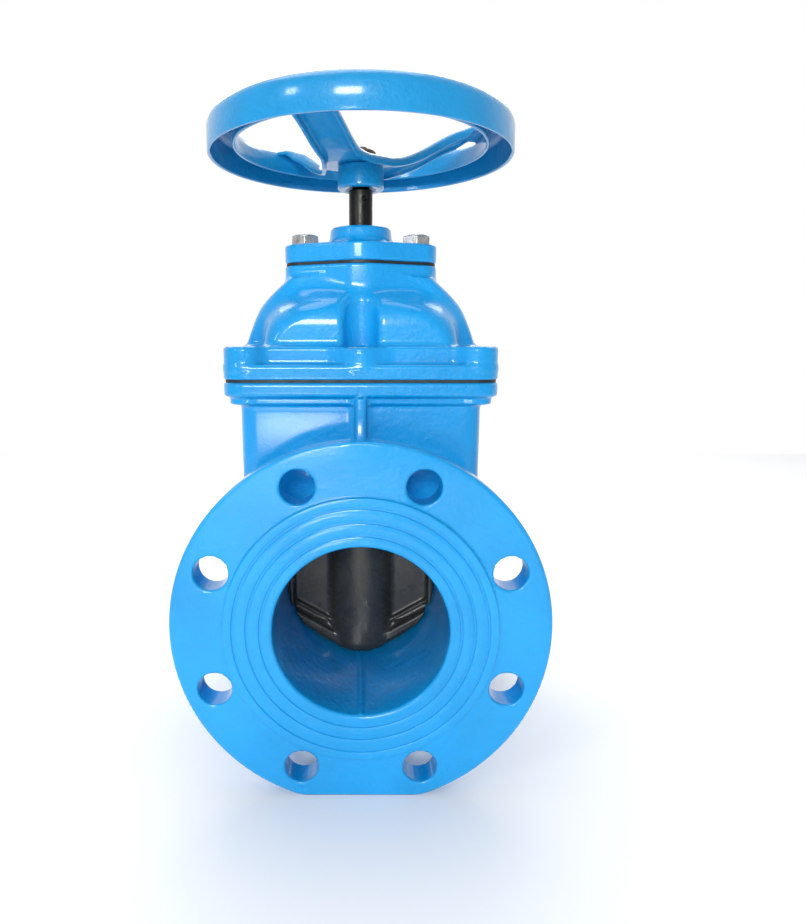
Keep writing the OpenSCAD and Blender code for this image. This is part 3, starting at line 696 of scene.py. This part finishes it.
def lathe(name, profile, segments, along_pipe=False, side=1):
    """Solid of revolution from a closed profile of (radius, place) points.

    It turns about Z, or about the pipe's axis with places measured towards side * Y.
    """
    turns = np.linspace(0, 2 * math.pi, segments, endpoint=False)
    r, w = np.array(profile, float).T
    c, s = np.cos(turns)[:, None], np.sin(turns)[:, None]
    flat = np.ones_like(c)
    rings = [r * c, w * flat * side, r * s * side] if along_pipe else [r * c, r * s, w * flat]
    points = np.stack(rings, 2).reshape(-1, 3)
    n = len(profile)
    faces = []
    for i in range(segments):
        j = (i + 1) % segments
        for k in range(n):
            m = (k + 1) % n
            faces.append((i * n + k, i * n + m, j * n + m, j * n + k))
    obj = place(name, points, faces)
    tidy_normals(obj)
    return obj


def tidy_normals(obj, sharp=38):
    """Turns every face outwards and keeps edges over the sharp angle crisp."""
    mesh = bmesh.new()
    mesh.from_mesh(obj.data)
    bmesh.ops.recalc_face_normals(mesh, faces=mesh.faces)
    mesh.to_mesh(obj.data)
    mesh.free()
    obj.data.set_sharp_from_angle(angle=math.radians(sharp))


def face_ring(name, side):
    """Raised face of a pipe flange with its gasket grooves, and the lip of the waterway."""
    front = HALF_LENGTH
    profile = [(BORE_R - 0.05, front - 12)]
    profile += arc(BORE_R + 1.95, front - 2, 2, 180, 90, 8)
    for r in FACE_GROOVES:
        profile += [(r - 1.2, front), (r - 0.8, front - 0.15), (r - 0.5, front - 0.7)]
        profile += [(r + 0.5, front - 0.7), (r + 0.8, front - 0.15), (r + 1.2, front)]
    profile += arc(FACE_R - 0.7, front - 0.7, 0.7, 90, 0, 5)
    profile += [(FACE_R, front - 2.6), (FACE_R - 4, front - 12)]
    return lathe(name, profile, 240, True, side)


def rim_profile():
    """Section of the rim: an inverted channel with round shoulders and rounded ends."""
    sheet, r = 2, RIM_ROUND
    z_in = Z_RIM_TOP - RIM_INNER_DROP
    outer = [(RIM_R - 0.4, Z_RIM), (RIM_R, Z_RIM + 0.6)]
    outer += arc(RIM_R - r, Z_RIM_TOP - r, r, 0, 90, 14)
    outer += arc(PAD_R + r, Z_RIM_TOP - r, r, 90, 180, 14)
    outer += [(PAD_R, z_in + 0.6), (PAD_R + 0.5, z_in)]
    outer += [(PAD_R + sheet - 0.5, z_in), (PAD_R + sheet, z_in + 0.6)]
    inner = arc(PAD_R + r, Z_RIM_TOP - r, r - sheet, 180, 90, 12)
    inner += arc(RIM_R - r, Z_RIM_TOP - r, r - sheet, 90, 0, 12)
    inner += [(RIM_R - sheet, Z_RIM + 0.6), (RIM_R - sheet + 0.5, Z_RIM)]
    return outer + inner


# ---------------------------------------------------------------- materials


class Finish:
    """A Principled material whose colour, roughness and relief come from noise."""

    def __init__(self, name, base, **sockets):
        self.material = bpy.data.materials.new(name)
        self.material.use_nodes = True
        self.tree = self.material.node_tree
        self.shader = self.tree.nodes["Principled BSDF"]
        self.shader.inputs["Base Color"].default_value = (*base, 1)
        for key, value in sockets.items():
            self.shader.inputs[key.replace("_", " ")].default_value = value
        self.coordinates = self.add("ShaderNodeTexCoord").outputs["Object"]
        self.normal = None

    def add(self, kind, **inputs):
        """New node of a kind, with a value or a link for each of its named sockets."""
        node = self.tree.nodes.new(kind)
        for key, value in inputs.items():
            socket = node.inputs[key.replace("_", " ")]
            if isinstance(value, bpy.types.NodeSocket):
                self.tree.links.new(value, socket)
            else:
                socket.default_value = value
        return node

    def noise(self, size, detail=3.0, rough=0.55):
        """Cloudy noise from 0 to 1 with features of about size metres."""
        node = self.add("ShaderNodeTexNoise", Vector=self.coordinates, Scale=1 / size, Detail=detail,
                        Roughness=rough)
        return node.outputs["Fac"]

    def spots(self, size, share):
        """1 on small scattered spots, 0 elsewhere."""
        node = self.add("ShaderNodeTexNoise", Vector=self.coordinates, Scale=1 / size, Detail=2.0)
        return self.ramp(node.outputs["Fac"], [(1 - share, 0), (1 - share + 0.04, 1)])

    def ramp(self, fac, stops):
        """Colour ramp over fac; a stop is a place and a grey level or a colour."""
        node = self.add("ShaderNodeValToRGB", Fac=fac)
        elements = node.color_ramp.elements
        while len(elements) < len(stops):
            elements.new(0.5)
        for element, (where, value) in zip(elements, stops):
            element.position = where
            element.color = (value, value, value, 1) if isinstance(value, (int, float)) else (*value, 1)
        return node.outputs["Color"]

    def mix(self, fac, a, b):
        """Colour between a and b by fac."""
        node = self.tree.nodes.new("ShaderNodeMix")
        node.data_type = "RGBA"
        for socket, value in ((node.inputs[0], fac), (node.inputs[6], a), (node.inputs[7], b)):
            if isinstance(value, bpy.types.NodeSocket):
                self.tree.links.new(value, socket)
            else:
                socket.default_value = (*value, 1) if isinstance(value, tuple) else value
        return node.outputs[2]

    def colour(self, socket):
        """Takes the base colour from a socket."""
        self.tree.links.new(socket, self.shader.inputs["Base Color"])

    def roughness(self, fac, low_value, high_value):
        """Lets the roughness wander between two values with fac."""
        ramp = self.ramp(fac, [(0.3, low_value), (0.7, high_value)])
        self.tree.links.new(ramp, self.shader.inputs["Roughness"])

    def relief(self, height, depth, strength=1.0):
        """Adds a bump of about depth metres."""
        node = self.add("ShaderNodeBump", Height=height, Distance=depth, Strength=strength)
        if self.normal is not None:
            self.tree.links.new(self.normal, node.inputs["Normal"])
        self.normal = node.outputs["Normal"]
        self.tree.links.new(self.normal, self.shader.inputs["Normal"])


def epoxy_finish(name, base, gloss):
    """Thick glossy powder epoxy over a rough casting, with orange peel and a little dust."""
    paint = Finish(name, base, Specular_IOR_Level=0.2, Coat_Weight=1.0, Coat_IOR=1.38, Coat_Roughness=gloss)
    cloud = paint.noise(0.05, 4)
    deep = tuple(c * 0.88 for c in base)
    light = tuple(min(1, c * 1.06 + 0.002) for c in base)
    tone = paint.ramp(cloud, [(0.3, deep), (0.7, light)])
    dust = paint.spots(0.004, 0.22)
    paint.colour(paint.mix(dust, tone, tuple(min(1, c * 1.15 + 0.03) for c in base)))
    paint.roughness(paint.noise(0.012), 0.3, 0.45)
    paint.relief(paint.noise(0.008, 2), 0.0014, 0.5)
    paint.relief(paint.noise(0.0022, 3), 0.0006, 0.6)
    return paint.material


def rubber_finish(name, base, rough):
    """Moulded rubber with a fine grain, dusty patches and shinier rubbed places."""
    rubber = Finish(name, base, IOR=1.5)
    cloud = rubber.noise(0.02, 5)
    deep = tuple(c * 0.6 for c in base)
    light = tuple(c * 1.5 for c in base)
    tone = rubber.ramp(cloud, [(0.25, deep), (0.75, light)])
    dust = rubber.spots(0.0016, 0.26)
    rubber.colour(rubber.mix(dust, tone, tuple(c * 2.4 + 0.01 for c in base)))
    rubber.roughness(rubber.noise(0.008), rough - 0.12, rough + 0.14)
    rubber.relief(rubber.noise(0.0012, 4), 0.0001, 0.5)
    rubber.relief(rubber.noise(0.01), 0.0003, 0.4)
    return rubber.material


def metal_finish(name, base, rough, grain=0.0008, tarnish=(0.3, 0.25, 0.2), worn=0.2):
    """Bare or plated metal with a fine grain and tarnish in places."""
    metal = Finish(name, base, Metallic=1.0)
    cloud = metal.noise(0.006, 5)
    deep = tuple(c * 0.7 for c in base)
    light = tuple(min(1, c * 1.12) for c in base)
    tone = metal.ramp(cloud, [(0.25, deep), (0.7, light)])
    metal.colour(metal.mix(metal.spots(0.003, worn), tone, tarnish))
    metal.roughness(metal.noise(0.003), rough - 0.1, rough + 0.15)
    metal.relief(metal.noise(grain, 4), 0.00008, 0.5)
    return metal.material


def plastic_finish(name, base, rough):
    """Moulded plastic or wax with soft mottling."""
    plastic = Finish(name, base, Subsurface_Weight=0.15, Subsurface_Scale=0.002)
    cloud = plastic.noise(0.004, 4)
    plastic.colour(plastic.ramp(cloud, [(0.3, tuple(c * 0.82 for c in base)), (0.7, base)]))
    plastic.roughness(plastic.noise(0.002), rough - 0.08, rough + 0.12)
    plastic.relief(plastic.noise(0.0015, 3), 0.0001, 0.4)
    return plastic.material


FINISHES = {
    "blue_epoxy": epoxy_finish("blue_epoxy", (0.002, 0.305, 0.70), 0.13),
    "blue_paint": epoxy_finish("blue_paint", (0.003, 0.255, 0.56), 0.13),
    "rubber": rubber_finish("rubber", (0.008, 0.008, 0.008), 0.5),
    "wedge_rubber": rubber_finish("wedge_rubber", (0.030, 0.030, 0.027), 0.3),
    "zinc_steel": metal_finish("zinc_steel", (0.66, 0.66, 0.65), 0.3, tarnish=(0.42, 0.42, 0.38)),
    "sealing_wax": plastic_finish("sealing_wax", (0.30, 0.56, 0.80), 0.4),
    "brass": metal_finish("brass", (0.80, 0.58, 0.26), 0.3, tarnish=(0.42, 0.26, 0.1)),
    "nylon": plastic_finish("nylon", (0.82, 0.79, 0.68), 0.45),
    "black_steel": metal_finish("black_steel", (0.035, 0.036, 0.033), 0.36, tarnish=(0.03, 0.03, 0.03)),
    "brown_steel": metal_finish("brown_steel", (0.16, 0.10, 0.06), 0.45,
                                tarnish=(0.1, 0.04, 0.015), worn=0.4),
    "raw_iron": metal_finish("raw_iron", (0.24, 0.235, 0.23), 0.55, tarnish=(0.22, 0.1, 0.05), worn=0.35),
    "guide_plastic": plastic_finish("guide_plastic", (0.62, 0.56, 0.32), 0.4),
}
NODE_SLOTS = {part["node"]: part["material_slot"] for part in frame["record"]["subparts"]}

# ---------------------------------------------------------------- assembly


def finish_piece(piece, body, slot, *nodes):
    """Gives a piece its finish, rides it on its body and lets it stand for CAD nodes."""
    piece.data.materials.clear()
    piece.data.materials.append(FINISHES[slot])
    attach(piece, body)
    if nodes:
        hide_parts(*nodes)


def box_of(node, grow=0.0):
    """Corners of a CAD node's box in millimetres from the pipe's axis."""
    return [low(node, i) - grow for i in range(3)], [high(node, i) + grow for i in range(3)]


def joined(name, *objects):
    """One object from several that belong together."""
    bpy.ops.object.select_all(action="DESELECT")
    for obj in objects:
        obj.select_set(True)
    bpy.context.view_layer.objects.active = objects[0]
    bpy.ops.object.join()
    objects[0].name = name
    return objects[0]


FIELD_PIECES = [
    ("bonnet_casting", bonnet_shape, "bonnet", 1.3, (True, True), STILL),
    ("gland_casting", gland_shape, "gland", 0.9, (True, True), STILL),
    ("hexagon_bolts", gland_bolt_shape, "gland_bolts", 0.55, (True, True), STILL),
    ("socket_screws", bonnet_screw_shape, "bonnet_screws", 0.8, (True, True), STILL),
    ("wax_plugs", wax_shape, "screw_seals", 0.6, (False, False), STILL),
    ("wheel_hub", hub_shape, "handwheel_hub", 0.7, (True, True), TURNING),
    ("wheel_spider", spider_shape, "handwheel_spider", 0.8, (False, False), TURNING),
    ("wheel_nut", nut_shape, "handwheel_nut", 0.35, (False, False), TURNING),
    ("wedge_cover", wedge_rubber_shape, "wedge_rubber", 0.95, (True, True), SLIDING),
]
FIELD_MARGIN = 4
for name, field, node, step, mirror, body in FIELD_PIECES:
    low_corner, high_corner = box_of(node, FIELD_MARGIN)
    piece = mesh_field(name, field, low_corner, high_corner, step, mirror)
    finish_piece(piece, body, NODE_SLOTS[node], node)

casting = mesh_field("body_shell", body_shape, *box_of("body"), 1.5)
rings = [face_ring(f"face_ring_{side}", side) for side in (-1, 1)]
finish_piece(joined("body_casting", casting, *rings), STILL, NODE_SLOTS["body"], "body")

rod = mesh_field("stem_rod", stem_shape, *box_of("stem"), 0.6, (False, False))
stud_room = STUD_R + 1
stud_low = [-stud_room, -stud_room, Z_HUB_TOP - 1]
stud_high = [stud_room, stud_room, Z_STEM_TOP]
stud = mesh_field("stem_stud", stud_shape, stud_low, stud_high, 0.33, (False, False))
finish_piece(joined("threaded_stem", rod, stud), TURNING, NODE_SLOTS["stem"], "stem")

rim = lathe("wheel_rim", rim_profile(), 240)
finish_piece(rim, TURNING, NODE_SLOTS["handwheel_rim"], "handwheel_rim")

for node, obj in frame["nodes"].items():
    obj.data.materials.clear()
    obj.data.materials.append(FINISHES[NODE_SLOTS[node]])

# ---------------------------------------------------------------- floor, light and camera


def plain_finish(name, base, rough):
    """Matt surface with barely visible clouds."""
    surface = Finish(name, base)
    tone = surface.ramp(surface.noise(0.3), [(0.3, tuple(c * 0.985 for c in base)), (0.7, base)])
    surface.colour(tone)
    surface.roughness(surface.noise(0.1), rough, rough + 0.1)
    return surface.material


def studio_floor():
    """Square of plain floor round the valve."""
    size = 1.1
    mesh = bpy.data.meshes.new("floor")
    corners = [(-size, -size, 0), (size, -size, 0), (size, size, 0), (-size, size, 0)]
    mesh.from_pydata(corners, [], [(0, 1, 2, 3)])
    floor = bpy.data.objects.new("floor", mesh)
    bpy.context.scene.collection.objects.link(floor)
    mesh.materials.append(plain_finish("pale_floor", (0.93, 0.935, 0.94), 0.6))


def softbox(name, at, target, width, height, power):
    """Rectangular lamp that faces a target."""
    light = bpy.data.lights.new(name, "AREA")
    light.shape = "RECTANGLE"
    light.size, light.size_y, light.energy = width, height, power
    lamp = bpy.data.objects.new(name, light)
    lamp.location = at
    lamp.rotation_euler = (Vector(target) - Vector(at)).to_track_quat("-Z", "Y").to_euler()
    bpy.context.scene.collection.objects.link(lamp)


studio_floor()
MIDDLE = (0, 0, (cad_low[2] + cad_high[2]) / 2)
softbox("key", (-0.2, -1.5, 0.62), MIDDLE, 0.45, 0.25, 13.5)
softbox("left_lamp", (-1.05, -1.0, 0.75), MIDDLE, 0.2, 0.2, 2.5)
softbox("low_strip", (-0.13, -1.05, 0.085), MIDDLE, 0.17, 0.06, 0.7)
softbox("top_light", (-0.1, 0.2, 1.5), MIDDLE, 1.0, 0.8, 5)
softbox("floor_light", (0, 1.1, 1.2), (0, 0.7, 0), 1.6, 0.5, 9)


def studio_world():
    """Pale grey room with a white far wall."""
    world = bpy.data.worlds.new("studio")
    bpy.context.scene.world = world
    world.use_nodes = True
    room = world.node_tree
    heading = room.nodes.new("ShaderNodeSeparateXYZ")
    walls = room.nodes.new("ShaderNodeValToRGB")
    near, far = walls.color_ramp.elements
    near.color = (0.46, 0.47, 0.48, 1)
    far.color = (1.0, 1.0, 1.0, 1)
    far.position = 0.5
    room.links.new(room.nodes.new("ShaderNodeTexCoord").outputs["Generated"], heading.inputs["Vector"])
    room.links.new(heading.outputs["Y"], walls.inputs["Fac"])
    room.links.new(walls.outputs["Color"], room.nodes["Background"].inputs["Color"])


studio_world()
bpy.context.scene.view_settings.view_transform = "Standard"

CAMERA_AT = (0, -0.4378, 0.2547)
LOOK_DOWN = 10.07
LENS, SHIFT_X = 26.2, 0.0457
camera_data = bpy.data.cameras.new("camera")
camera_data.sensor_width = 36
camera_data.sensor_fit = "AUTO"
camera_data.lens = LENS
camera_data.shift_x = SHIFT_X
camera_data.clip_start = 0.01
camera = bpy.data.objects.new("camera", camera_data)
camera.location = CAMERA_AT
camera.rotation_euler = (math.radians(90 - LOOK_DOWN), 0, 0)
bpy.context.scene.collection.objects.link(camera)
bpy.context.scene.camera = camera
